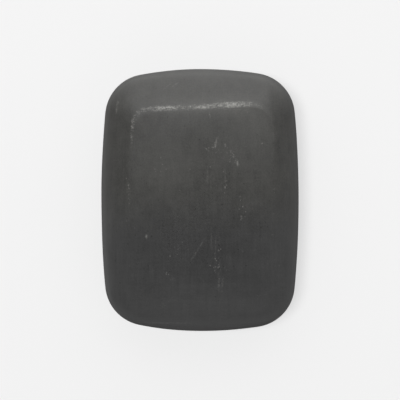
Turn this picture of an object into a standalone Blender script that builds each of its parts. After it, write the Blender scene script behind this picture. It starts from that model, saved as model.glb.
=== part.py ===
"""Basalt massage stone: one solid piece of basalt, ground and tumbled to a pillow shape, 80 mm long.

Metres, +Z up. The stone lies on its rest face, whose middle is the origin, with its length along Y.

Seen from above, it is a rectangle whose four sides bow out and whose corners are round. Its widest level is
the girdle. Above the girdle a full round rim turns in to a flatter flank, then over a soft shoulder to the
crown, a low dome. Below it the same rim turns under to the belly, a matching dome with a small flat in the
middle. Both the outline and the section are chains of arcs, and each arc is tangent to the next.
"""

import math
from collections import namedtuple

import bmesh
import bpy
import numpy as np

LENGTH = 0.0800
WIDTH = 0.0603
THICKNESS = 0.0270
GIRDLE_HEIGHT = 0.0132

# Outline at the girdle. Its right-hand half is a little fuller, so its ends are flatter there
SIDE_RADIUS = 0.300
LEFT_END_RADIUS = 0.093
RIGHT_END_RADIUS = 0.121
CORNER_RADIUS = 0.0131

# Outline where the shoulder runs out into the crown. The skew makes its right-hand side the longer one
CROWN_LENGTH = 0.0541
CROWN_WIDTH = 0.0408
CROWN_SIDE_RADIUS = 0.240
CROWN_LEFT_END_RADIUS = 0.130
CROWN_RIGHT_END_RADIUS = 0.210
CROWN_CORNER_RADIUS = 0.0053
CROWN_SKEW = 0.022

# Outline where the lower shoulder runs out into the belly, and the width of the flat in the belly
BELLY_LENGTH = 0.0520
BELLY_WIDTH = 0.0388
BELLY_END_RADIUS = 0.130
BELLY_CORNER_RADIUS = 0.0075
REST_FACE_WIDTH = 0.0160

# Section. A tilt is the slope of the surface: upright is 90 degrees, and the top of the crown is level
UPRIGHT = math.radians(90)
LEVEL = 0.0
RIM_TILT = math.radians(45)
SHOULDER_TILT = math.radians(30)
SHOULDER_RADIUS = 0.0050
CROWN_EDGE_TILT = math.radians(11)
CROWN_EDGE_RADIUS = 0.0600
CROWN_MIDDLE_TILT = math.radians(5)
LOWER_SHOULDER_TILT = math.radians(28)
LOWER_SHOULDER_RADIUS = 0.0060
BELLY_EDGE_TILT = math.radians(8)

# Faces along each arc: of a quarter of the outline, then of the section
SIDE_STEPS = 6
CORNER_STEPS = 8
END_STEPS = 4
RIM_STEPS = 6
FLANK_STEPS = 3
SHOULDER_STEPS = 3
CROWN_EDGE_STEPS = 3
DOME_STEPS = 5

BASALT_COLOUR = (0.056, 0.056, 0.054, 1.0)
BASALT_ROUGHNESS = 0.42

Outline = namedtuple(
    "Outline", "half_width half_length side_radius left_end_radius right_end_radius corner_radius"
)
Arc = namedtuple("Arc", "radius from_tilt to_tilt steps")

GIRDLE = Outline(
    WIDTH / 2, LENGTH / 2, SIDE_RADIUS, LEFT_END_RADIUS, RIGHT_END_RADIUS, CORNER_RADIUS
)
CROWN = Outline(
    CROWN_WIDTH / 2, CROWN_LENGTH / 2, CROWN_SIDE_RADIUS,
    CROWN_LEFT_END_RADIUS, CROWN_RIGHT_END_RADIUS, CROWN_CORNER_RADIUS,
)
BELLY = Outline(
    BELLY_WIDTH / 2, BELLY_LENGTH / 2, CROWN_SIDE_RADIUS,
    BELLY_END_RADIUS, BELLY_END_RADIUS, BELLY_CORNER_RADIUS,
)


def clear_scene():
    for old in list(bpy.data.objects):
        bpy.data.objects.remove(old)


def mix(a, b, share):
    return a + (b - a) * share


# Outline


def outline_arc(centre, radius, start, stop, steps):
    """Points along an arc, without its last one, which begins the next arc."""
    angles = (mix(start, stop, step / steps) for step in range(steps))
    return [(centre[0] + radius * math.cos(a), centre[1] + radius * math.sin(a)) for a in angles]


def quarter(outline, end_radius):
    """Half a side arc, a corner arc and half an end arc, from (half_width, 0) round to (0, half_length).

    The corner's circle touches the other two from inside. So its centre lies side_radius - corner_radius
    from the side's centre, which is on the X axis, and end_radius - corner_radius from the end's centre,
    which is on the Y axis.
    """
    side_x = outline.half_width - outline.side_radius
    end_y = outline.half_length - end_radius
    from_side = outline.side_radius - outline.corner_radius
    from_end = end_radius - outline.corner_radius
    apart = math.hypot(side_x, end_y)
    along = (from_side**2 - from_end**2 + apart**2) / (2 * apart)
    across = math.sqrt(from_side**2 - along**2)
    corner_x = side_x - (side_x * along + end_y * across) / apart
    corner_y = (end_y * along - side_x * across) / apart
    side_turn = math.atan2(corner_y, corner_x - side_x)
    end_turn = math.atan2(corner_y - end_y, corner_x)
    return [
        *outline_arc((side_x, 0), outline.side_radius, 0, side_turn, SIDE_STEPS),
        *outline_arc((corner_x, corner_y), outline.corner_radius, side_turn, end_turn, CORNER_STEPS),
        *outline_arc((0, end_y), end_radius, end_turn, math.pi / 2, END_STEPS),
        (0, outline.half_length),
    ]


def outline_points(outline):
    """The closed outline, anticlockwise from the middle of the right-hand side."""
    right = quarter(outline, outline.right_end_radius)
    left = quarter(outline, outline.left_end_radius)
    back_right = right[:-1]
    back_left = [(-x, y) for x, y in reversed(left)][:-1]
    front_left = [(-x, -y) for x, y in left][:-1]
    front_right = [(x, -y) for x, y in reversed(right)][:-1]
    return back_right + back_left + front_left + front_right


def outline_between(outer, inner, share):
    """The outline that lies this share of the way in from an outer one to an inner one."""
    return Outline(*(mix(a, b, share) for a, b in zip(outer, inner)))


# Section. The run of an arc is how far it goes inwards, and its rise is how far it goes away from the girdle


def run_of(arc):
    return arc.radius * (math.sin(arc.from_tilt) - math.sin(arc.to_tilt))


def rise_of(arc):
    return arc.radius * (math.cos(arc.to_tilt) - math.cos(arc.from_tilt))


def arc_over(run, from_tilt, to_tilt, steps):
    """The arc that covers a run between two tilts."""
    radius = run / (math.sin(from_tilt) - math.sin(to_tilt))
    return Arc(radius, from_tilt, to_tilt, steps)


def rim_and_flank(run, rise, flank_tilt):
    """The two arcs that together cover a run and a rise, from upright by way of RIM_TILT to flank_tilt."""
    runs = [math.sin(UPRIGHT) - math.sin(RIM_TILT), math.sin(RIM_TILT) - math.sin(flank_tilt)]
    rises = [math.cos(RIM_TILT) - math.cos(UPRIGHT), math.cos(flank_tilt) - math.cos(RIM_TILT)]
    rim_radius, flank_radius = np.linalg.solve([runs, rises], [run, rise]).tolist()
    rim = Arc(rim_radius, UPRIGHT, RIM_TILT, RIM_STEPS)
    flank = Arc(flank_radius, RIM_TILT, flank_tilt, FLANK_STEPS)
    return [rim, flank]


def walk(arcs):
    """(run, rise) of each step along a chain of arcs, without its start."""
    run, rise = 0.0, 0.0
    steps = []
    for arc in arcs:
        for step in range(1, arc.steps + 1):
            part = arc._replace(to_tilt=mix(arc.from_tilt, arc.to_tilt, step / arc.steps))
            steps.append((run + run_of(part), rise + rise_of(part)))
        run, rise = steps[-1]
    return steps


# Rings of points, level with each other all round


def band_rings(inner, skew, arcs):
    """Rings over the rim, flank and shoulder, whose outline goes from the girdle's to the inner one."""
    band = GIRDLE.half_width - inner.half_width
    rings = []
    for run, rise in walk(arcs):
        share = run / band
        outline = outline_between(GIRDLE, inner, share)
        lean = skew * share / outline.half_width
        rings.append([(x, y * (1 + lean * x), rise) for x, y in outline_points(outline)])
    return rings


def dome_rings(edge, half_width, arcs):
    """Rings over a dome, from just inside its edge. They shrink, and their shape nears an ellipse."""
    half_length = max(y for _, y, _ in edge)
    edge_height = edge[0][2]
    rings = []
    for run, rise in walk(arcs):
        scale = 1 - run / half_width
        ring = []
        for x, y, _ in edge:
            turn = math.atan2(y / half_length, x / half_width)
            ring_x = mix(half_width * math.cos(turn), x, scale) * scale
            ring_y = mix(half_length * math.sin(turn), y, scale) * scale
            ring.append((ring_x, ring_y, edge_height + rise))
        rings.append(ring)
    return rings


def half_rings(inner, skew, height, shoulder, dome):
    """Rings of the half above or below the girdle, from the first one past it. Heights count from it."""
    run = GIRDLE.half_width - inner.half_width - run_of(shoulder)
    rise = height - rise_of(shoulder) - sum(rise_of(arc) for arc in dome)
    band = band_rings(inner, skew, [*rim_and_flank(run, rise, shoulder.from_tilt), shoulder])
    return band + dome_rings(band[-1], inner.half_width, dome)


def upper_rings():
    """Rings from the girdle to the crown. The last one has shrunk to a point, and is left out."""
    shoulder = Arc(SHOULDER_RADIUS, SHOULDER_TILT, CROWN_EDGE_TILT, SHOULDER_STEPS)
    edge = Arc(CROWN_EDGE_RADIUS, CROWN_EDGE_TILT, CROWN_MIDDLE_TILT, CROWN_EDGE_STEPS)
    middle = arc_over(CROWN.half_width - run_of(edge), CROWN_MIDDLE_TILT, LEVEL, DOME_STEPS)
    return half_rings(CROWN, CROWN_SKEW, THICKNESS - GIRDLE_HEIGHT, shoulder, [edge, middle])[:-1]


def lower_rings():
    """Rings from the girdle to the edge of the rest face, turned over so that their heights count down."""
    shoulder = Arc(LOWER_SHOULDER_RADIUS, LOWER_SHOULDER_TILT, BELLY_EDGE_TILT, SHOULDER_STEPS)
    belly = arc_over(BELLY.half_width - REST_FACE_WIDTH / 2, BELLY_EDGE_TILT, LEVEL, DOME_STEPS)
    rings = half_rings(BELLY, 0.0, GIRDLE_HEIGHT, shoulder, [belly])
    return [[(x, y, -z) for x, y, z in ring] for ring in rings]


def stone_rings():
    """Every ring of the stone, from the edge of the rest face up to the last one on the crown."""
    girdle = [(x, y, 0.0) for x, y in outline_points(GIRDLE)]
    rings = [*reversed(lower_rings()), girdle, *upper_rings()]
    return [[(x, y, GIRDLE_HEIGHT + z) for x, y, z in ring] for ring in rings]


# Mesh


def add_ring(bm, points):
    verts = [bm.verts.new(point) for point in points]
    return [bm.edges.new((verts[i - 1], verts[i])) for i in range(len(verts))]


def stone_mesh():
    """The skin lofted through the rings, closed below by the flat rest face and above by a low peak."""
    bm = bmesh.new()
    loops = [add_ring(bm, ring) for ring in stone_rings()]
    for lower, upper in zip(loops, loops[1:]):
        bmesh.ops.bridge_loops(bm, edges=lower + upper)
    bmesh.ops.edgeloop_fill(bm, edges=loops[0])
    cap = bmesh.ops.edgeloop_fill(bm, edges=loops[-1])["faces"]
    peak = bmesh.ops.poke(bm, faces=cap)["verts"][0]
    peak.co = (0, 0, THICKNESS)
    bmesh.ops.recalc_face_normals(bm, faces=bm.faces)
    mesh = bpy.data.meshes.new("basalt_stone")
    bm.to_mesh(mesh)
    bm.free()
    mesh.shade_smooth()
    return mesh


def basalt():
    material = bpy.data.materials.new("basalt")
    material.use_nodes = True
    surface = material.node_tree.nodes["Principled BSDF"]
    surface.inputs["Base Color"].default_value = BASALT_COLOUR
    surface.inputs["Roughness"].default_value = BASALT_ROUGHNESS
    surface.inputs["Metallic"].default_value = 0.0
    return material


def main():
    clear_scene()
    mesh = stone_mesh()
    mesh.materials.append(basalt())
    stone = bpy.data.objects.new("basalt_stone", mesh)
    bpy.context.scene.collection.objects.link(stone)


main()
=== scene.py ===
"""The looks of the basalt massage stone: its worn and polished surface, its light and its camera."""

import math
from collections import namedtuple

import bmesh
import bpy
import numpy as np
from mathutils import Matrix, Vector, noise


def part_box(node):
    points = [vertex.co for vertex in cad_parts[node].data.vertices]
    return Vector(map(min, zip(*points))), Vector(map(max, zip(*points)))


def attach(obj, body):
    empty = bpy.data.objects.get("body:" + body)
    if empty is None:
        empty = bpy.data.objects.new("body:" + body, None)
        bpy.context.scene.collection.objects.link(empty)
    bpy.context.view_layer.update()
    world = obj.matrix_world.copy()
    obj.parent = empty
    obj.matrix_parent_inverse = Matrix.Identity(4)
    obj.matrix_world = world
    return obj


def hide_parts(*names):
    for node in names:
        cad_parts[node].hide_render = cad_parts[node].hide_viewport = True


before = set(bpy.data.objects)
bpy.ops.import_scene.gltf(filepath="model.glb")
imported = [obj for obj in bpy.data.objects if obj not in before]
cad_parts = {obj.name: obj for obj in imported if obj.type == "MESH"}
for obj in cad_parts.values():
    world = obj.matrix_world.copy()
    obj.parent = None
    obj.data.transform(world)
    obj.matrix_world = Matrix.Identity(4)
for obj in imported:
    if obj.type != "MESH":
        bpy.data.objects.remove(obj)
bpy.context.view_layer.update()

MM = 0.001
STONE_LOW, STONE_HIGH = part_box("basalt_stone")
STONE_SIZE = STONE_HIGH - STONE_LOW
GIRDLE_HEIGHT = 0.478 * STONE_SIZE.z

Outline = namedtuple(
    "Outline", "half_width half_length side_radius left_end_radius right_end_radius corner_radius"
)
Arc = namedtuple("Arc", "radius from_tilt to_tilt")
# A half of the stone: the outline inside its shoulder, its height, its shoulder where crisp and where soft,
# and the arcs of its dome
Half = namedtuple("Half", "inner height crisp soft dome")

# Outlines seen from above: at the widest level, and inside the upper and the lower shoulder
GIRDLE = Outline(STONE_SIZE.x / 2, STONE_SIZE.y / 2, 300 * MM, 93 * MM, 121 * MM, 13.1 * MM)
CROWN = Outline(20.4 * MM, 26.6 * MM, 260 * MM, 400 * MM, 400 * MM, 5.3 * MM)
BELLY = Outline(19.4 * MM, 26.0 * MM, 240 * MM, 130 * MM, 130 * MM, 7.5 * MM)

# The crown lies a little forward, and falls away towards its corners. The drop starts at this share of the
# half length, and is worked in over the outer part of the shoulder
CROWN_SET_FORWARD = 0.6 * MM
CROWN_CORNER_DROP = 1.25 * MM
DROP_START = 0.1
DROP_WORKED_IN = 0.7

# The shoulder is crisp at the back end and worn round at the front end, and partly round along the sides
CRISP_FROM_Y = 16 * MM
ROUND_FROM_Y = -18 * MM
SIDES_FROM_X, SIDES_TO_X = 14 * MM, 21 * MM
RIGHT_ROUNDNESS = 0.6
LEFT_ROUNDNESS = 0.3

# Where the shoulder's line runs out past a straight one: at the right of the back end, and at the back of
# the right side
TOP_BUMP = 1.8 * MM
TOP_BUMP_X = 13.5 * MM
TOP_BUMP_REACH = 9 * MM
SIDE_BUMP = 2.3 * MM
BUMPS_FULL_AT = 20 * MM
SIDE_BUMP_FROM_X = 2 * MM
SIDE_BUMP_FROM_Y = -8 * MM

# Points round a ring: steps along half a side, a corner and half an end
SIDE_STEPS = 10
CORNER_STEPS = 12
END_STEPS = 8
RING_POINTS = 4 * (SIDE_STEPS + CORNER_STEPS + END_STEPS)

# Sections. Tilts are slopes of the surface in degrees: upright is 90
RIM_TILT = 50
FLAT_WIDTH = 16 * MM
BAND_STEPS = 40
DOME_STEPS = 12
SAME_PLACE = 0.001 * MM

# The ridge is the line of the shoulder where wear falls: its tilt, and its spread at the left and the right
RIDGE_TILT = 19.5
RIDGE_SPREAD_LEFT = 8.5
RIDGE_SPREAD_RIGHT = 12
RIDGE_WIDENS_FROM_X = 2 * MM
RIDGE_WIDENS_OVER = 10 * MM

# Unevenness of the skin. A scuff's hollow reaches past its pale mark by the lip, in mm like the scuffs' list
WAVE_LENGTH = 14 * MM
WAVE_DEPTH = 0.06 * MM
FADE_HEIGHT = 1.5 * MM
SCUFF_DEPTH = 0.03 * MM
SCUFF_LIP = 0.3

# Stage. The panel is turned from +Y and raised, and the overhead lamp is spread, by so many degrees
GROUND_SIZE = 3.0
GROUND_GREY = 0.2
GROUND_ROUGHNESS = 0.9
GROUND_SPECULAR = 0.2
GROUND_BOUNCE = 0.8
GROUND_GLOW = 0.57
PANEL_TURN = -8
PANEL_RISE = 50
PANEL_DISTANCE = 0.7
PANEL_LENGTH = 0.84
PANEL_WIDTH = 0.6
PANEL_POWER = 3.0
OVERHEAD_FROM = (-0.23, 0.02, 1.0)
OVERHEAD_SPREAD = 15
OVERHEAD_STRENGTH = 2.6

# The camera looks straight down. Its picture is this wide at the height of the girdle
LENS = 150
SENSOR_WIDTH = 36
VIEW_WIDTH = 1.5244 * STONE_SIZE.y

# How bright the room is at these heights above the horizon, in degrees, on each of its four sides
ROOM_HEIGHTS = (-90, -40, 0, 20, 40, 60, 90)
ROOM_PEAK = 4.0
ROOM_SIDES = {
    (0, 1): (0.0, 0.8, 2.6, 1.1, 0.95, 0.9, 0.0),
    (0, -1): (0.0, 0.2, 0.75, 0.3, 1.0, 0.15, 0.0),
    (-1, 0): (0.0, 0.5, 0.36, 0.22, 0.34, 0.1, 0.0),
    (1, 0): (0.0, 0.38, 0.52, 0.46, 0.42, 0.3, 0.0),
}

# Stone colours: grey at the front, browner at the back, and the whitish powder of a worn place
GREY_BASALT = (0.0245, 0.0245, 0.0244, 1)
BROWN_BASALT = (0.0252, 0.0248, 0.0229, 1)
WORN_BASALT = (0.27, 0.268, 0.252, 1)
BROWN_FROM_Y, BROWN_TO_Y = -14 * MM, 6 * MM
GRAIN_CONTRAST_FRONT, GRAIN_CONTRAST_BACK = 1.3, 2.2
STREAK_CONTRAST = 0.6
PORE_DARKNESS = 0.35
WORN_COVER = 0.9

# Roughness of the clean stone, how much it varies, and what a worn place adds
POLISH = 0.42
POLISH_GRAIN = 0.16
POLISH_STREAKS = 0.08
POLISH_LOST = 0.15

# The bump, and how high streaks stand and how deep pores and rubbed places lie in it, where the grain is 1
BUMP_HEIGHT = 0.012 * MM
BUMP_STRENGTH = 0.5
STREAK_HEIGHT = 0.5
PORE_DEPTH = 1.2
RUBBED_DEPTH = 0.8

# Sizes of the grain's blotches and of the wear's breaks, in mm along x, y and z
CRYSTALS = (0.45, 0.45, 0.45)
CLOUDS = (2.5, 3.5, 2.5)
BROAD_CLOUDS = (12, 15, 12)
PORE_SPACING = (1.3, 1.3, 1.3)
LONG_STREAKS = (0.5, 9, 4)
CROSS_STREAKS = (8, 0.6, 4)
WEAR_DASHES = (1.1, 0.5, 0.8)
WEAR_CRUMBS = (0.35, 0.35, 0.35)
WEAR_GAPS = (5, 5, 5)
SCUFF_WAVER = (1.2, 1.2, 1.2)
SCUFF_BREAKS = (0.5, 0.5, 0.5)
SPECK_SPACING = (0.6, 0.7, 0.7)
SPECK_CLUSTERS = (1.5, 1.5, 1.5)

# What each kind of blotch and of streak adds to the whole
CLOUDS_SHARE, BROAD_CLOUDS_SHARE = 0.6, 0.4
CRYSTALS_SHARE, MOTTLE_SHARE = 0.5, 0.5
LONG_STREAKS_SHARE, CROSS_STREAKS_SHARE = 0.65, 0.35

# How rare pores are in clean stone, and how much less so where specks gather
PORE_RARITY = 0.72
PORE_RARITY_LOST = 0.6

# Pores and specks fade in from the first distance named to the second, as shares of their spacing
PORE_EDGE = (0.24, 0.10)
SPECK_EDGE = (0.42, 0.12)

# A scuff fades in from its outline to these shares of its half length and half width. Its width wavers
SCUFF_END_EDGE = (1.0, 0.35)
SCUFF_SIDE_EDGE = (1.0, 0.1)
SCUFF_WAVER_WIDTH = 1.4

# The noise levels over which scuffs, clusters of specks and the shoulder's wear come in
SCUFF_BREAK_LEVELS = (0.38, 0.62)
SPECK_CLUSTER_LEVELS = (0.30, 0.70)
WEAR_LEVELS = (0.18, 1.15)

# How worn the shoulder is: at the back end's left and right, the left back corner, the left side and below.
# Each wear sets in from the first place named to the second
BACK_WEAR_LEFT, BACK_WEAR_RIGHT = 0.41, 0.51
BACK_WEAR_X, BACK_WEAR_Y = (23 * MM, 14 * MM), (24 * MM, 27 * MM)
BACK_WEAR_RISES_X = (0.0, 12 * MM)
CORNER_WEAR = 0.30
CORNER_WEAR_X, CORNER_WEAR_Y = (-17 * MM, -20 * MM), (12 * MM, 22 * MM)
SIDE_WEAR = 0.12
SIDE_WEAR_X, SIDE_WEAR_Y = (-19 * MM, -21 * MM), (-10 * MM, 0.0)
LOWER_WEAR = 0.16
LOWER_WEAR_Z = (10 * MM, 6 * MM)
WEAR_UNEVENNESS = 1.1
WEAR_GAP_STRENGTH = 0.7
SPECK_STRENGTH = 0.28

# Scuffs on the upper side, in mm: x, y, turn of the long axis in degrees, half length, half width, strength
SCUFFS = [
    (4.9, 17.5, 70, 2.0, 0.45, 0.24),
    (4.4, 15.9, 60, 0.8, 0.60, 0.36),
    (7.5, 16.3, 95, 0.6, 0.40, 0.26),
    (9.8, 13.3, 120, 1.1, 0.55, 0.30),
    (11.0, 11.3, 115, 1.4, 0.60, 0.40),
    (11.3, 10.4, 30, 0.7, 0.40, 0.26),
    (7.5, 7.0, 90, 3.4, 0.40, 0.07),
    (7.5, 3.8, 90, 0.5, 0.35, 0.28),
    (2.2, 7.4, 88, 3.4, 0.45, 0.06),
    (3.2, 5.4, 92, 2.8, 0.40, 0.05),
    (11.9, 1.1, 0, 0.4, 0.35, 0.35),
    (12.2, -5.3, 85, 1.0, 0.40, 0.18),
    (-15.9, -10.9, 80, 0.8, 0.50, 0.28),
    (-0.8, -15.0, 57.6, 5.2, 0.38, 0.09),
    (3.4, -11.5, 90, 4.5, 0.40, 0.05),
    (4.6, -13.5, 88, 5.0, 0.35, 0.06),
    (5.8, -10.5, 91, 3.5, 0.35, 0.05),
    (5.6, -15.0, 0, 0.5, 0.45, 0.24),
    (12.7, -15.5, 0, 0.4, 0.40, 0.14),
    (5.6, -24.3, 90, 3.6, 0.45, 0.13),
    (6.7, -25.2, 85, 3.2, 0.38, 0.09),
    (-24.9, 28.0, 83, 2.6, 0.50, 0.18),
    (-10.0, 34.0, 40, 2.2, 0.25, 0.16),
    (-7.6, 34.6, 35, 1.8, 0.22, 0.14),
    (-10.5, -37.0, 0, 11.0, 0.30, 0.10),
    (18.5, 16.8, 0, 0.4, 0.40, 0.30),
    (2.1, 15.0, 140, 1.2, 0.30, 0.20),
    (2.9, 25.2, 92, 1.3, 0.35, 0.18),
]

# Where pale specks gather, in mm: x, y, reach across, reach along, density
SPECK_PATCHES = [
    (10.2, 12.4, 3.0, 4.0, 0.9),
    (5.0, 16.4, 4.0, 3.4, 0.5),
    (6.5, 15.0, 9.0, 6.0, 0.2),
    (-11.9, 10.1, 4.0, 4.0, 0.4),
    (-6.0, 11.0, 8.0, 6.0, 0.12),
    (7.5, 5.0, 2.0, 6.0, 0.4),
    (12.2, -4.2, 3.0, 5.0, 0.4),
    (14.6, -1.3, 4.0, 4.0, 0.25),
    (4.6, -20.4, 5.0, 2.6, 0.7),
    (-9.8, -22.6, 3.4, 2.6, 0.7),
    (5.4, -15.5, 2.6, 9.0, 0.4),
    (-7.4, -15.0, 8.0, 5.0, 0.25),
    (-21.6, 3.5, 2.0, 6.5, 0.6),
    (-20.6, -6.0, 2.4, 6.0, 0.5),
    (0.0, -5.0, 26.0, 34.0, 0.06),
]

# Soft paler or darker areas, in mm: x, y, reach across, reach along, strength. The paler strips along the
# back shoulder, at the back right corner and along the front shoulder are painted highlights. The darker
# areas on the crown are painted shade. The others are the stone's own paler places
TONE_AND_LIGHT_PATCHES = [
    (-6.0, 8.0, 13.0, 14.0, 0.16),
    (14.0, 8.0, 12.0, 14.0, 0.14),
    (-13.0, 22.0, 12.0, 12.0, -0.20),
    (4.0, 20.0, 14.0, 7.0, -0.08),
    (14.6, -1.3, 4.0, 4.0, 0.22),
    (18.0, 22.0, 8.0, 11.0, 0.30),
    (13.0, 26.5, 9.0, 3.5, 0.25),
    (-6.0, 28.0, 14.0, 4.0, 0.35),
    (8.0, 28.5, 13.0, 5.0, 0.45),
    (3.0, -14.0, 24.0, 20.0, -0.12),
    (0.0, -27.0, 18.0, 5.0, 0.14),
]

# The underside is the same all over
UNDERSIDE_SPECKS = 0.12
UNDERSIDE_TONE = 0.06


def mix(a, b, share):
    return a + (b - a) * share


def smooth_step(low, high, value):
    share = min(max((value - low) / (high - low), 0), 1)
    return share * share * (3 - 2 * share)


def sine(degrees):
    return math.sin(math.radians(degrees))


def cosine(degrees):
    return math.cos(math.radians(degrees))


# ---------------------------------------------------------------- the outline, as tangent arcs


def arc_points(centre, radius, start, stop, steps):
    angles = (mix(start, stop, step / steps) for step in range(steps))
    return [(centre[0] + radius * math.cos(a), centre[1] + radius * math.sin(a)) for a in angles]


def quarter(outline, end_radius):
    """Half a side, a corner that touches side and end from inside, and half an end."""
    side_x = outline.half_width - outline.side_radius
    end_y = outline.half_length - end_radius
    from_side = outline.side_radius - outline.corner_radius
    from_end = end_radius - outline.corner_radius
    apart = math.hypot(side_x, end_y)
    along = (from_side**2 - from_end**2 + apart**2) / (2 * apart)
    across = math.sqrt(from_side**2 - along**2)
    corner_x = side_x - (side_x * along + end_y * across) / apart
    corner_y = (end_y * along - side_x * across) / apart
    side_turn = math.atan2(corner_y, corner_x - side_x)
    end_turn = math.atan2(corner_y - end_y, corner_x)
    return [
        *arc_points((side_x, 0), outline.side_radius, 0, side_turn, SIDE_STEPS),
        *arc_points((corner_x, corner_y), outline.corner_radius, side_turn, end_turn, CORNER_STEPS),
        *arc_points((0, end_y), end_radius, end_turn, math.pi / 2, END_STEPS),
        (0, outline.half_length),
    ]


def outline_points(outline):
    right = quarter(outline, outline.right_end_radius)
    left = quarter(outline, outline.left_end_radius)
    back_right = right[:-1]
    back_left = [(-x, y) for x, y in reversed(left)][:-1]
    front_left = [(-x, -y) for x, y in left][:-1]
    front_right = [(x, -y) for x, y in reversed(right)][:-1]
    return back_right + back_left + front_left + front_right


# ---------------------------------------------------------------- the section, as tangent arcs


def run_of(arc):
    return arc.radius * (sine(arc.from_tilt) - sine(arc.to_tilt))


def rise_of(arc):
    return arc.radius * (cosine(arc.to_tilt) - cosine(arc.from_tilt))


def arc_over(run, from_tilt, to_tilt):
    return Arc(run / (sine(from_tilt) - sine(to_tilt)), from_tilt, to_tilt)


def rim_and_flank(run, rise, flank_tilt):
    runs = [1 - sine(RIM_TILT), sine(RIM_TILT) - sine(flank_tilt)]
    rises = [cosine(RIM_TILT), cosine(flank_tilt) - cosine(RIM_TILT)]
    rim, flank = np.linalg.solve([runs, rises], [run, rise]).tolist()
    return [Arc(rim, 90, RIM_TILT), Arc(flank, RIM_TILT, flank_tilt)]


def profile(arcs, steps):
    """Runs and rises along a chain of arcs, from its start, each arc in equal steps."""
    runs, rises = [0.0], [0.0]
    for arc in arcs:
        start_run, start_rise = runs[-1], rises[-1]
        for step in range(1, steps + 1):
            part = arc._replace(to_tilt=mix(arc.from_tilt, arc.to_tilt, step / steps))
            runs.append(start_run + run_of(part))
            rises.append(start_rise + rise_of(part))
    return np.array(runs), np.array(rises)


def band_profile(half, shoulder):
    """Runs and rises of the rim, flank and shoulder together, as shares of the band's run, and heights."""
    band = GIRDLE.half_width - half.inner.half_width
    dome_rise = sum(rise_of(arc) for arc in half.dome)
    run = band - run_of(shoulder)
    rise = half.height - rise_of(shoulder) - dome_rise
    runs, rises = profile([*rim_and_flank(run, rise, shoulder.from_tilt), shoulder], BAND_STEPS)
    return runs / band, rises


CROWN_EDGE_ARC = Arc(60 * MM, 11, 5)
UPPER = Half(
    inner=CROWN,
    height=STONE_SIZE.z - GIRDLE_HEIGHT,
    crisp=Arc(4.5 * MM, 40, 11),
    soft=Arc(12 * MM, 44, 11),
    dome=[CROWN_EDGE_ARC, arc_over(CROWN.half_width - run_of(CROWN_EDGE_ARC), 5, 0)],
)
LOWER = Half(
    inner=BELLY,
    height=GIRDLE_HEIGHT,
    crisp=Arc(11 * MM, 41, 8),
    soft=Arc(12 * MM, 42, 8),
    dome=[arc_over(BELLY.half_width - FLAT_WIDTH / 2, 8, 0)],
)

# The tilts at which the rings of the band lie: close together at the shoulder, where the surface turns
# fastest
RING_TILTS = [83, 75, 67, 59, 53, 48, 44, 40, 36, 32, 28, 24, 20, 16, 13, 11]


def shoulder_softness(x, y):
    """0 where the shoulder is crisp, to 1 where it is worn round."""
    forward = smooth_step(CRISP_FROM_Y, ROUND_FROM_Y, y)
    right = RIGHT_ROUNDNESS * smooth_step(SIDES_FROM_X, SIDES_TO_X, x)
    left = LEFT_ROUNDNESS * smooth_step(SIDES_FROM_X, SIDES_TO_X, -x)
    return 1 - (1 - forward) * (1 - right) * (1 - left)


def top_line_bump(x, y):
    nearness = math.exp(-(((x - TOP_BUMP_X) / TOP_BUMP_REACH) ** 2))
    return TOP_BUMP * nearness * smooth_step(0, BUMPS_FULL_AT, y)


def side_line_bump(x, y):
    to_the_right = smooth_step(SIDE_BUMP_FROM_X, BUMPS_FULL_AT, x)
    return SIDE_BUMP * to_the_right * smooth_step(SIDE_BUMP_FROM_Y, BUMPS_FULL_AT, y)


def corner_drop(x, y):
    """How far the crown falls away towards its corners, below a level edge."""
    across = smooth_step(0, CROWN.half_width, abs(x))
    along = smooth_step(DROP_START * CROWN.half_length, CROWN.half_length, abs(y))
    return CROWN_CORNER_DROP * across * along


def ring_shares(half):
    """The share of the way in at which the crisp section has each tilt."""
    band = GIRDLE.half_width - half.inner.half_width
    dome_rise = sum(rise_of(arc) for arc in half.dome)
    run = band - run_of(half.crisp)
    rise = half.height - rise_of(half.crisp) - dome_rise
    shares = []
    for tilt in RING_TILTS:
        passed = 0.0
        for arc in [*rim_and_flank(run, rise, half.crisp.from_tilt), half.crisp]:
            reached = min(max(tilt, arc.to_tilt), arc.from_tilt)
            passed += run_of(arc._replace(to_tilt=reached))
        shares.append(passed / band)
    shares[-1] = 1.0
    return shares


def dome_height(half, edge, x, y):
    """Height above the dome's edge at a place inside it. Its level lines near an ellipse at the middle."""
    turns, reaches = edge
    across, along = x / half.inner.half_width, y / half.inner.half_length
    reach = math.hypot(across, along)
    full = np.interp(math.atan2(along, across), turns, reaches, period=2 * math.pi)
    scale = 2 * reach / (1 + math.sqrt(1 + 4 * (full - 1) * reach))
    runs, rises = profile(half.dome, DOME_STEPS)
    return float(np.interp((1 - scale) * half.inner.half_width, runs, rises))


# ---------------------------------------------------------------- modelling the stone


def ring_turn(vert):
    """A vertex's place round its ring. The first one, on +X, never falls just short of a full turn."""
    return (math.atan2(vert.co.y, vert.co.x) + 0.01) % (2 * math.pi)


def selected_ring(stone):
    bm = bmesh.from_edit_mesh(stone.data)
    return bm, sorted((v for v in bm.verts if v.select), key=ring_turn)


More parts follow.
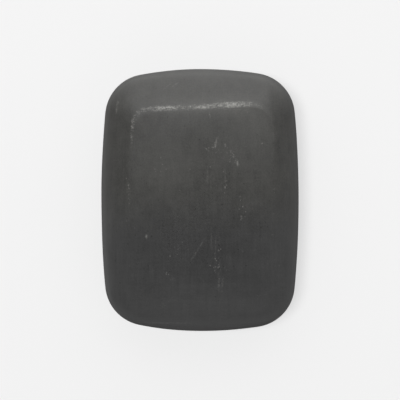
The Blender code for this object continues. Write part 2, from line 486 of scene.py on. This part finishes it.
def fit_ring(stone, half, share, sign):
    """Moves the selected ring's points on to the outline and the heights that the stone has there."""
    _, ring = selected_ring(stone)
    outline = Outline(*(mix(a, b, share) for a, b in zip(GIRDLE, half.inner)))
    crisp_shares, crisp_heights = band_profile(half, half.crisp)
    soft_shares, soft_heights = band_profile(half, half.soft)
    crisp = np.interp(share, crisp_shares, crisp_heights)
    soft = np.interp(share, soft_shares, soft_heights)
    for vert, (x, y) in zip(ring, outline_points(outline)):
        height = mix(crisp, soft, shoulder_softness(x, y))
        if sign > 0:
            shift_x = side_line_bump(x, y) * share
            shift_y = (top_line_bump(x, y) - CROWN_SET_FORWARD) * share
            x, y = x + shift_x, y + shift_y
            height -= corner_drop(x, y) * smooth_step(0, DROP_WORKED_IN, share)
        vert.co = (x, y, GIRDLE_HEIGHT + sign * height)
    bmesh.update_edit_mesh(stone.data)


def close_dome(stone, half, sign):
    """Fills the selected ring with a grid whose corners are the outline's, and raises it to a dome."""
    bm, ring = selected_ring(stone)
    corner = ring[SIDE_STEPS + CORNER_STEPS // 2]
    turns = [math.atan2(v.co.y / half.inner.half_length, v.co.x / half.inner.half_width) for v in ring]
    reaches = [math.hypot(v.co.y / half.inner.half_length, v.co.x / half.inner.half_width) for v in ring]
    edge_height = ring[0].co.z
    bm.select_history.clear()
    bm.select_history.add(corner)
    bmesh.update_edit_mesh(stone.data)
    bpy.ops.mesh.fill_grid(span=2 * END_STEPS + CORNER_STEPS, offset=0)
    bm = bmesh.from_edit_mesh(stone.data)
    filled = {v for face in bm.faces if face.select for v in face.verts if not v.is_boundary}
    edge = {v for v in filled if any(not face.select for face in v.link_faces)}
    for vert in filled - edge:
        height = dome_height(half, (turns, reaches), vert.co.x, vert.co.y)
        if sign > 0:
            height -= corner_drop(vert.co.x, vert.co.y)
        vert.co.z = edge_height + sign * height
    bmesh.update_edit_mesh(stone.data)


def model_half(stone, half, sign):
    """Extrudes the girdle ring inwards and up, or down, level by level, and closes it with a dome."""
    bpy.ops.mesh.select_all(action="DESELECT")
    bm = bmesh.from_edit_mesh(stone.data)
    for vert in bm.verts:
        vert.select = abs(vert.co.z - GIRDLE_HEIGHT) < SAME_PLACE
    bm.select_flush(True)
    bmesh.update_edit_mesh(stone.data)
    for share in ring_shares(half):
        bpy.ops.mesh.extrude_region_move(TRANSFORM_OT_translate={"value": (0, 0, sign * MM)})
        fit_ring(stone, half, share, sign)
    close_dome(stone, half, sign)


def deselect_all():
    for thing in bpy.context.selected_objects:
        thing.select_set(False)


def apply_modifier(thing, kind, **settings):
    modifier = thing.modifiers.new(kind.title(), kind)
    for name, value in settings.items():
        setattr(modifier, name, value)
    bpy.ops.object.modifier_apply(modifier=modifier.name)


def model_stone():
    """Models the whole stone from one circle at the girdle, then roughens and scuffs its skin."""
    deselect_all()
    bpy.ops.mesh.primitive_circle_add(
        vertices=RING_POINTS, radius=GIRDLE.half_width, location=(0, 0, GIRDLE_HEIGHT)
    )
    stone = bpy.context.object
    stone.name = "worn_basalt_stone"
    bpy.ops.object.transform_apply(location=True, rotation=False, scale=False)
    bpy.ops.object.mode_set(mode="EDIT")
    fit_ring(stone, UPPER, 0.0, 1)
    model_half(stone, UPPER, 1)
    model_half(stone, LOWER, -1)
    bpy.ops.mesh.select_all(action="SELECT")
    bpy.ops.mesh.remove_doubles(threshold=SAME_PLACE)
    bpy.ops.mesh.normals_make_consistent(inside=False)
    bpy.ops.object.mode_set(mode="OBJECT")
    apply_modifier(stone, "SUBSURF", levels=2, render_levels=2)
    note_ridge(stone)
    note_patches(stone)
    roughen(stone)
    press_scuffs(stone)
    bpy.ops.object.shade_smooth()
    return stone


def skin(stone):
    """The places and the normals of all vertices, one row each."""
    places = np.empty(3 * len(stone.data.vertices))
    normals = np.empty_like(places)
    stone.data.vertices.foreach_get("co", places)
    stone.data.vertices.foreach_get("normal", normals)
    return places.reshape(-1, 3), normals.reshape(-1, 3)


def note_ridge(stone):
    """Notes on each vertex how far it lies on a shoulder, where wear falls."""
    places, normals = skin(stone)
    tilts = np.degrees(np.arccos(np.clip(np.abs(normals[:, 2]), 0, 1)))
    right = np.clip((places[:, 0] - RIDGE_WIDENS_FROM_X) / RIDGE_WIDENS_OVER, 0, 1)
    spread = mix(RIDGE_SPREAD_LEFT, RIDGE_SPREAD_RIGHT, right)
    ridge = np.exp(-(((tilts - RIDGE_TILT) / spread) ** 2))
    stone.data.attributes.new("ridge", "FLOAT", "POINT").data.foreach_set("value", ridge)


def note_patches(stone):
    """Notes where pale specks gather on the upper side, and where its tone is gently paler or darker: partly
    painted highlights and painted shade, partly the stone's own tone.
    """
    places, _ = skin(stone)
    upper = places[:, 2] > GIRDLE_HEIGHT
    for name, rows, below in (
        ("speck_density", SPECK_PATCHES, UNDERSIDE_SPECKS), ("tone_and_painted_light", TONE_AND_LIGHT_PATCHES, UNDERSIDE_TONE)
    ):
        total = np.zeros(len(places))
        for x, y, across, along, strength in rows:
            far = np.hypot((places[:, 0] / MM - x) / across, (places[:, 1] / MM - y) / along)
            near = np.clip(1 - far, 0, 1)
            total += strength * near**2 * (3 - 2 * near)
        values = np.where(upper, total, below)
        stone.data.attributes.new(name, "FLOAT", "POINT").data.foreach_set("value", values)


def roughen(stone):
    """Moves the skin unevenly inwards by hundredths of a millimetre, and leaves the rest face flat."""
    places, normals = skin(stone)
    away = np.clip(places[:, 2] / FADE_HEIGHT, 0, 1) ** 2
    waves = np.array([noise.noise(Vector(spot) / WAVE_LENGTH) for spot in places])
    places += normals * (WAVE_DEPTH * (waves - 1) * away)[:, None]
    stone.data.vertices.foreach_set("co", places.ravel())
    stone.data.update()


def press_scuffs(stone):
    """Presses the scuffs into the skin, the strongest by about a hundredth of a millimetre."""
    places, normals = skin(stone)
    depth = np.zeros(len(places))
    for x, y, turn, half_length, half_width, strength in SCUFFS:
        dx, dy = places[:, 0] / MM - x, places[:, 1] / MM - y
        along = (dx * cosine(turn) + dy * sine(turn)) / (half_length + SCUFF_LIP)
        across = (dy * cosine(turn) - dx * sine(turn)) / (half_width + SCUFF_LIP)
        depth = np.maximum(depth, strength * np.clip(1 - along**2 - across**2, 0, 1))
    depth *= SCUFF_DEPTH * (places[:, 2] > GIRDLE_HEIGHT)
    places -= normals * depth[:, None]
    stone.data.vertices.foreach_set("co", places.ravel())
    stone.data.update()


# ---------------------------------------------------------------- materials


def place(tree, kind, inputs=None, **settings):
    """Adds a node, sets it up, and links or fills its inputs."""
    node = tree.nodes.new(kind)
    for name, value in settings.items():
        setattr(node, name, value)
    connect(tree, node, inputs or {})
    return node


def connect(tree, node, inputs):
    for name, value in inputs.items():
        if isinstance(value, bpy.types.NodeSocket):
            tree.links.new(value, node.inputs[name])
        else:
            node.inputs[name].default_value = value


def use_group(tree, group, inputs):
    return place(tree, "ShaderNodeGroup", inputs, node_tree=group).outputs


def maths(tree, operation, *values):
    return place(tree, "ShaderNodeMath", dict(enumerate(values)), operation=operation).outputs[0]


def eased(tree, value, low, high):
    """Runs smoothly from 0 at the low value to 1 at the high one."""
    node = place(
        tree, "ShaderNodeMapRange",
        {"Value": value, "From Min": low, "From Max": high}, interpolation_type="SMOOTHSTEP",
    )
    return node.outputs["Result"]


def blend(tree, share, first, second):
    """A colour between two others."""
    settings = {0: share, 6: first, 7: second}
    return place(tree, "ShaderNodeMix", settings, data_type="RGBA").outputs[2]


def stretched(tree, position, sizes):
    """The position counted in units of the given sizes, in mm."""
    shares = [1 / (size * MM) for size in sizes]
    return place(tree, "ShaderNodeVectorMath", {0: position, 1: shares}, operation="MULTIPLY").outputs[0]


def cloud(tree, position, sizes, seed, detail=2.0):
    """Noise from 0 to 1 whose blotches have the given sizes."""
    spot = stretched(tree, position, sizes)
    settings = {"Vector": spot, "W": seed, "Scale": 1.0, "Detail": detail}
    return place(tree, "ShaderNodeTexNoise", settings, noise_dimensions="4D").outputs["Fac"]


def add_up(tree, first, first_share, second, second_share):
    """The sum of two values, each multiplied by its share."""
    return maths(tree, "MULTIPLY_ADD", first, first_share, maths(tree, "MULTIPLY", second, second_share))


def new_group(name, inputs, outputs):
    """An empty node group, what its inputs give inside it, and where its results go."""
    group = bpy.data.node_groups.new(name, "ShaderNodeTree")
    for socket, kind in inputs.items():
        group.interface.new_socket(socket, in_out="INPUT", socket_type="NodeSocket" + kind)
    for socket in outputs:
        group.interface.new_socket(socket, in_out="OUTPUT", socket_type="NodeSocketFloat")
    source = group.nodes.new("NodeGroupInput")
    result = group.nodes.new("NodeGroupOutput")
    return group, source.outputs, result.inputs


def stone_grain():
    """The mineral's own unevenness: fine crystals, cloudy areas and tiny pores."""
    group, given, result = new_group(
        "stone_grain", {"Position": "Vector", "Pitting": "Float"}, ["Tone", "Height", "Pores"]
    )
    spot = given["Position"]
    crystals = cloud(group, spot, CRYSTALS, seed=1.0, detail=4.0)
    clouds = cloud(group, spot, CLOUDS, seed=2.0, detail=4.0)
    broad = cloud(group, spot, BROAD_CLOUDS, seed=3.0)
    mottle = add_up(group, clouds, CLOUDS_SHARE, broad, BROAD_CLOUDS_SHARE)
    tone = add_up(group, crystals, CRYSTALS_SHARE, mottle, MOTTLE_SHARE)
    grid = stretched(group, spot, PORE_SPACING)
    cells = place(group, "ShaderNodeTexVoronoi", {"Vector": grid, "Scale": 1.0})
    rarity = maths(group, "MULTIPLY_ADD", given["Pitting"], -PORE_RARITY_LOST, PORE_RARITY)
    chosen = maths(group, "GREATER_THAN", cells.outputs["Color"], rarity)
    pores = maths(group, "MULTIPLY", eased(group, cells.outputs["Distance"], *PORE_EDGE), chosen)
    height = maths(group, "MULTIPLY_ADD", pores, -PORE_DEPTH, crystals)
    group.links.new(tone, result["Tone"])
    group.links.new(height, result["Height"])
    group.links.new(pores, result["Pores"])
    return group


def polishing_streaks():
    """Faint streaks along the stone, left by the drum and by years of hands."""
    group, given, result = new_group("polishing_streaks", {"Position": "Vector"}, ["Streaks"])
    long_ones = cloud(group, given["Position"], LONG_STREAKS, seed=4.0, detail=3.0)
    cross_ones = cloud(group, given["Position"], CROSS_STREAKS, seed=5.0, detail=3.0)
    streaks = add_up(group, long_ones, LONG_STREAKS_SHARE, cross_ones, CROSS_STREAKS_SHARE)
    group.links.new(streaks, result["Streaks"])
    return group


def where_both(tree, x, x_marks, y, y_marks):
    """1 where x and y are both past their second marks, eased in from their first ones."""
    return maths(tree, "MULTIPLY", eased(tree, y, *y_marks), eased(tree, x, *x_marks))


def shoulder_wear():
    """Where the shoulder is worn pale: most at the back end, less at the left corner, little elsewhere."""
    group, given, result = new_group("shoulder_wear", {"Position": "Vector", "Ridge": "Float"}, ["Wear"])
    spot = given["Position"]
    x, y, z = place(group, "ShaderNodeSeparateXYZ", {0: spot}).outputs
    back = where_both(group, x, BACK_WEAR_X, y, BACK_WEAR_Y)
    rightwards = eased(group, x, *BACK_WEAR_RISES_X)
    back_wear = maths(group, "MULTIPLY_ADD", rightwards, BACK_WEAR_RIGHT - BACK_WEAR_LEFT, BACK_WEAR_LEFT)
    back = maths(group, "MULTIPLY", back, back_wear)
    corner = where_both(group, x, CORNER_WEAR_X, y, CORNER_WEAR_Y)
    side = where_both(group, x, SIDE_WEAR_X, y, SIDE_WEAR_Y)
    strength = maths(group, "MAXIMUM", back, maths(group, "MULTIPLY", corner, CORNER_WEAR))
    strength = maths(group, "MAXIMUM", strength, maths(group, "MULTIPLY", side, SIDE_WEAR))
    below = maths(group, "MULTIPLY", eased(group, z, *LOWER_WEAR_Z), LOWER_WEAR)
    strength = maths(group, "MAXIMUM", strength, below)
    dashes = cloud(group, spot, WEAR_DASHES, seed=6.0, detail=4.0)
    crumbs = cloud(group, spot, WEAR_CRUMBS, seed=6.5)
    gaps = cloud(group, spot, WEAR_GAPS, seed=7.0, detail=1.0)
    uneven = maths(group, "MULTIPLY_ADD", crumbs, WEAR_UNEVENNESS, -WEAR_UNEVENNESS)
    uneven = maths(group, "MULTIPLY_ADD", dashes, WEAR_UNEVENNESS, uneven)
    uneven = maths(group, "SUBTRACT", uneven, WEAR_GAP_STRENGTH / 2)
    uneven = maths(group, "MULTIPLY_ADD", gaps, WEAR_GAP_STRENGTH, uneven)
    amount = maths(group, "MULTIPLY", given["Ridge"], maths(group, "ADD", strength, uneven))
    group.links.new(eased(group, amount, *WEAR_LEVELS), result["Wear"])
    return group


def scuff():
    """One scuff: a pale broken stroke of a given place, turn and size."""
    group, given, result = new_group(
        "scuff",
        {"Position": "Vector", "Place": "Vector", "Turn": "Float", "Reach": "Vector", "Strength": "Float"},
        ["Mark"],
    )
    offset = place(
        group, "ShaderNodeVectorMath", {0: given["Position"], 1: given["Place"]}, operation="SUBTRACT"
    )
    turned = place(
        group, "ShaderNodeVectorRotate", {"Vector": offset.outputs[0], "Angle": given["Turn"]},
        rotation_type="Z_AXIS", invert=True,
    )
    local = place(
        group, "ShaderNodeVectorMath", {0: turned.outputs[0], 1: given["Reach"]}, operation="DIVIDE"
    )
    along, across, _ = place(group, "ShaderNodeSeparateXYZ", {0: local.outputs[0]}).outputs
    waver = cloud(group, given["Position"], SCUFF_WAVER, seed=8.0)
    waver = maths(group, "MULTIPLY_ADD", waver, SCUFF_WAVER_WIDTH, -SCUFF_WAVER_WIDTH / 2)
    across = maths(group, "ADD", across, waver)
    along_fall = eased(group, maths(group, "ABSOLUTE", along), *SCUFF_END_EDGE)
    across_fall = eased(group, maths(group, "ABSOLUTE", across), *SCUFF_SIDE_EDGE)
    crumbs = cloud(group, given["Position"], SCUFF_BREAKS, seed=9.0, detail=3.0)
    breaks = eased(group, crumbs, *SCUFF_BREAK_LEVELS)
    mark = maths(group, "MULTIPLY", maths(group, "MULTIPLY", along_fall, across_fall), breaks)
    group.links.new(maths(group, "MULTIPLY", mark, given["Strength"]), result["Mark"])
    return group


def speck_field():
    """Small pale specks, as many as the density asks for."""
    group, given, result = new_group("speck_field", {"Position": "Vector", "Density": "Float"}, ["Specks"])
    grid = stretched(group, given["Position"], SPECK_SPACING)
    cells = place(group, "ShaderNodeTexVoronoi", {"Vector": grid, "Scale": 1.0})
    chosen = maths(group, "LESS_THAN", cells.outputs["Color"], given["Density"])
    dots = eased(group, cells.outputs["Distance"], *SPECK_EDGE)
    clusters = cloud(group, given["Position"], SPECK_CLUSTERS, seed=10.0)
    uneven = eased(group, clusters, *SPECK_CLUSTER_LEVELS)
    specks = maths(group, "MULTIPLY", maths(group, "MULTIPLY", chosen, dots), uneven)
    group.links.new(specks, result["Specks"])
    return group


def scuff_marks(tree, position, group):
    """The strongest of all the scuffs at each place."""
    total = 0.0
    for x, y, turn, half_length, half_width, strength in SCUFFS:
        settings = {
            "Position": position, "Place": (x * MM, y * MM, 0), "Turn": math.radians(turn),
            "Reach": (half_length * MM, half_width * MM, 1), "Strength": strength,
        }
        total = maths(tree, "MAXIMUM", use_group(tree, group, settings)["Mark"], total)
    return total


def basalt():
    """Dark satin stone with grain, streaks, soft patches of painted highlight, painted shade and its own
    tone, worn places, specks and scuffs.
    """
    material = bpy.data.materials.new("polished_basalt")
    material.use_nodes = True
    tree = material.node_tree
    surface = tree.nodes["Principled BSDF"]
    position = place(tree, "ShaderNodeTexCoord").outputs["Object"]
    _, y, z = place(tree, "ShaderNodeSeparateXYZ", {0: position}).outputs
    ridge = place(tree, "ShaderNodeAttribute", attribute_name="ridge").outputs["Fac"]
    upper = eased(tree, z, GIRDLE_HEIGHT - MM, GIRDLE_HEIGHT + MM)
    streaks = use_group(tree, polishing_streaks(), {"Position": position})["Streaks"]
    wear = use_group(tree, shoulder_wear(), {"Position": position, "Ridge": ridge})["Wear"]
    density = place(tree, "ShaderNodeAttribute", attribute_name="speck_density").outputs["Fac"]
    grain = use_group(tree, stone_grain(), {"Position": position, "Pitting": density})
    tone_and_light = place(tree, "ShaderNodeAttribute", attribute_name="tone_and_painted_light").outputs["Fac"]
    specks = use_group(tree, speck_field(), {"Position": position, "Density": density})["Specks"]
    scuffs = maths(tree, "MULTIPLY", scuff_marks(tree, position, scuff()), upper)
    rubbed = maths(tree, "MAXIMUM", wear, maths(tree, "MULTIPLY", specks, SPECK_STRENGTH))
    worn = maths(tree, "MAXIMUM", rubbed, scuffs)

    backwards = eased(tree, y, BROWN_FROM_Y, BROWN_TO_Y)
    gain = GRAIN_CONTRAST_BACK - GRAIN_CONTRAST_FRONT
    contrast = maths(tree, "MULTIPLY_ADD", backwards, gain, GRAIN_CONTRAST_FRONT)
    tone = maths(tree, "MULTIPLY_ADD", maths(tree, "ADD", grain["Tone"], -0.5), contrast, 1.0)
    streaky = maths(tree, "MULTIPLY_ADD", streaks, STREAK_CONTRAST, -STREAK_CONTRAST / 2)
    # Painted highlights along the shoulders and painted shade on the crown are added to the tone here, with
    # the stone's own paler places
    tone = maths(tree, "ADD", maths(tree, "ADD", tone, streaky), tone_and_light)
    tone = maths(tree, "MULTIPLY_ADD", grain["Pores"], -PORE_DARKNESS, tone)
    mineral = blend(tree, backwards, GREY_BASALT, BROWN_BASALT)
    clean = place(tree, "ShaderNodeVectorMath", {0: mineral, "Scale": tone}, operation="SCALE").outputs[0]
    colour = blend(tree, maths(tree, "MULTIPLY", worn, WORN_COVER), clean, WORN_BASALT)
    tree.links.new(colour, surface.inputs["Base Color"])

    even = POLISH - (POLISH_GRAIN + POLISH_STREAKS) / 2
    roughness = maths(tree, "MULTIPLY_ADD", grain["Tone"], POLISH_GRAIN, even)
    roughness = maths(tree, "MULTIPLY_ADD", streaks, POLISH_STREAKS, roughness)
    roughness = maths(tree, "MULTIPLY_ADD", worn, POLISH_LOST, roughness)
    tree.links.new(roughness, surface.inputs["Roughness"])

    height = maths(tree, "MULTIPLY_ADD", streaks, STREAK_HEIGHT, grain["Height"])
    height = maths(tree, "MULTIPLY_ADD", rubbed, -RUBBED_DEPTH, height)
    settings = {"Strength": BUMP_STRENGTH, "Distance": BUMP_HEIGHT, "Height": height}
    bump = place(tree, "ShaderNodeBump", settings)
    tree.links.new(bump.outputs["Normal"], surface.inputs["Normal"])
    return material


def pale_ground():
    """A lit ground. It looks brighter to the camera than it lights the stone."""
    material = bpy.data.materials.new("pale_ground")
    material.use_nodes = True
    tree = material.node_tree
    surface = tree.nodes["Principled BSDF"]
    surface.inputs["Base Color"].default_value = (GROUND_GREY, GROUND_GREY, GROUND_GREY, 1)
    surface.inputs["Roughness"].default_value = GROUND_ROUGHNESS
    surface.inputs["Specular IOR Level"].default_value = GROUND_SPECULAR
    surface.inputs["Emission Color"].default_value = (1, 1, 1, 1)
    path = place(tree, "ShaderNodeLightPath")
    glow = place(
        tree, "ShaderNodeMapRange",
        {"Value": path.outputs["Is Camera Ray"], "To Min": GROUND_BOUNCE, "To Max": GROUND_GLOW},
    )
    tree.links.new(glow.outputs["Result"], surface.inputs["Emission Strength"])
    return material


# ---------------------------------------------------------------- stage


def aim(thing, target):
    thing.rotation_euler = (Vector(target) - thing.location).to_track_quat("-Z", "Y").to_euler()


def lay_ground():
    deselect_all()
    bpy.ops.mesh.primitive_plane_add(size=GROUND_SIZE)
    ground = bpy.context.object
    ground.name = "ground"
    ground.data.materials.append(pale_ground())
    ground.visible_glossy = False


def light_panel():
    """A soft rectangular light behind and above the stone. It casts no shadow."""
    data = bpy.data.lights.new("window_panel", "AREA")
    data.shape = "RECTANGLE"
    data.size = PANEL_LENGTH
    data.size_y = PANEL_WIDTH
    data.energy = PANEL_POWER
    data.use_shadow = False
    panel = bpy.data.objects.new("window_panel", data)
    away = PANEL_DISTANCE * cosine(PANEL_RISE)
    up = GIRDLE_HEIGHT + PANEL_DISTANCE * sine(PANEL_RISE)
    panel.location = (away * sine(PANEL_TURN), away * cosine(PANEL_TURN), up)
    bpy.context.scene.collection.objects.link(panel)
    aim(panel, (0, 0, GIRDLE_HEIGHT))


def light_overhead():
    data = bpy.data.lights.new("overhead", "SUN")
    data.angle = math.radians(OVERHEAD_SPREAD)
    data.energy = OVERHEAD_STRENGTH
    overhead = bpy.data.objects.new("overhead", data)
    overhead.location = OVERHEAD_FROM
    overhead.visible_glossy = False
    bpy.context.scene.collection.objects.link(overhead)
    aim(overhead, (0, 0, 0))


def light_room():
    """A room whose light is set side by side and height by height. Its ceiling is dark."""
    world = bpy.data.worlds.new("room")
    world.use_nodes = True
    tree = world.node_tree
    direction = place(tree, "ShaderNodeTexCoord").outputs["Generated"]
    x, y, z = place(tree, "ShaderNodeSeparateXYZ", {0: direction}).outputs
    height = maths(tree, "MULTIPLY_ADD", maths(tree, "ARCSINE", z), 1 / math.pi, 0.5)
    reach = maths(tree, "SQRT", maths(tree, "MULTIPLY_ADD", x, x, maths(tree, "MULTIPLY", y, y)))
    total = 0.0
    for (side_x, side_y), levels in ROOM_SIDES.items():
        part = maths(tree, "MULTIPLY_ADD", x, side_x, maths(tree, "MULTIPLY", y, side_y))
        facing = maths(tree, "MAXIMUM", maths(tree, "DIVIDE", part, reach), 0.0)
        ramp = place(tree, "ShaderNodeValToRGB", {0: height})
        set_ramp(ramp.color_ramp, levels)
        lit = maths(tree, "MULTIPLY", ramp.outputs["Color"], maths(tree, "MULTIPLY", facing, facing))
        total = maths(tree, "ADD", lit, total)
    background = tree.nodes["Background"]
    tree.links.new(total, background.inputs["Color"])
    background.inputs["Strength"].default_value = ROOM_PEAK
    bpy.context.scene.world = world


def set_ramp(ramp, levels):
    """Sets a ramp's greys, from straight down to straight up."""
    stops = [(height + 90) / 180 for height in ROOM_HEIGHTS]
    while len(ramp.elements) < len(stops):
        ramp.elements.new(0.5)
    for element, stop in zip(ramp.elements, stops):
        element.position = stop
    for element, brightness in zip(ramp.elements, levels):
        grey = brightness / ROOM_PEAK
        element.color = (grey, grey, grey, 1)


def set_camera():
    data = bpy.data.cameras.new("camera")
    data.lens = LENS
    data.sensor_width = SENSOR_WIDTH
    camera = bpy.data.objects.new("camera", data)
    camera.location = (0, 0, GIRDLE_HEIGHT + LENS / SENSOR_WIDTH * VIEW_WIDTH)
    bpy.context.scene.collection.objects.link(camera)
    bpy.context.scene.camera = camera


def main():
    stone = model_stone()
    stone.data.materials.append(basalt())
    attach(stone, "root")
    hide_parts("basalt_stone")
    lay_ground()
    light_room()
    light_panel()
    light_overhead()
    set_camera()
    bpy.context.scene.view_settings.view_transform = "Standard"


main()
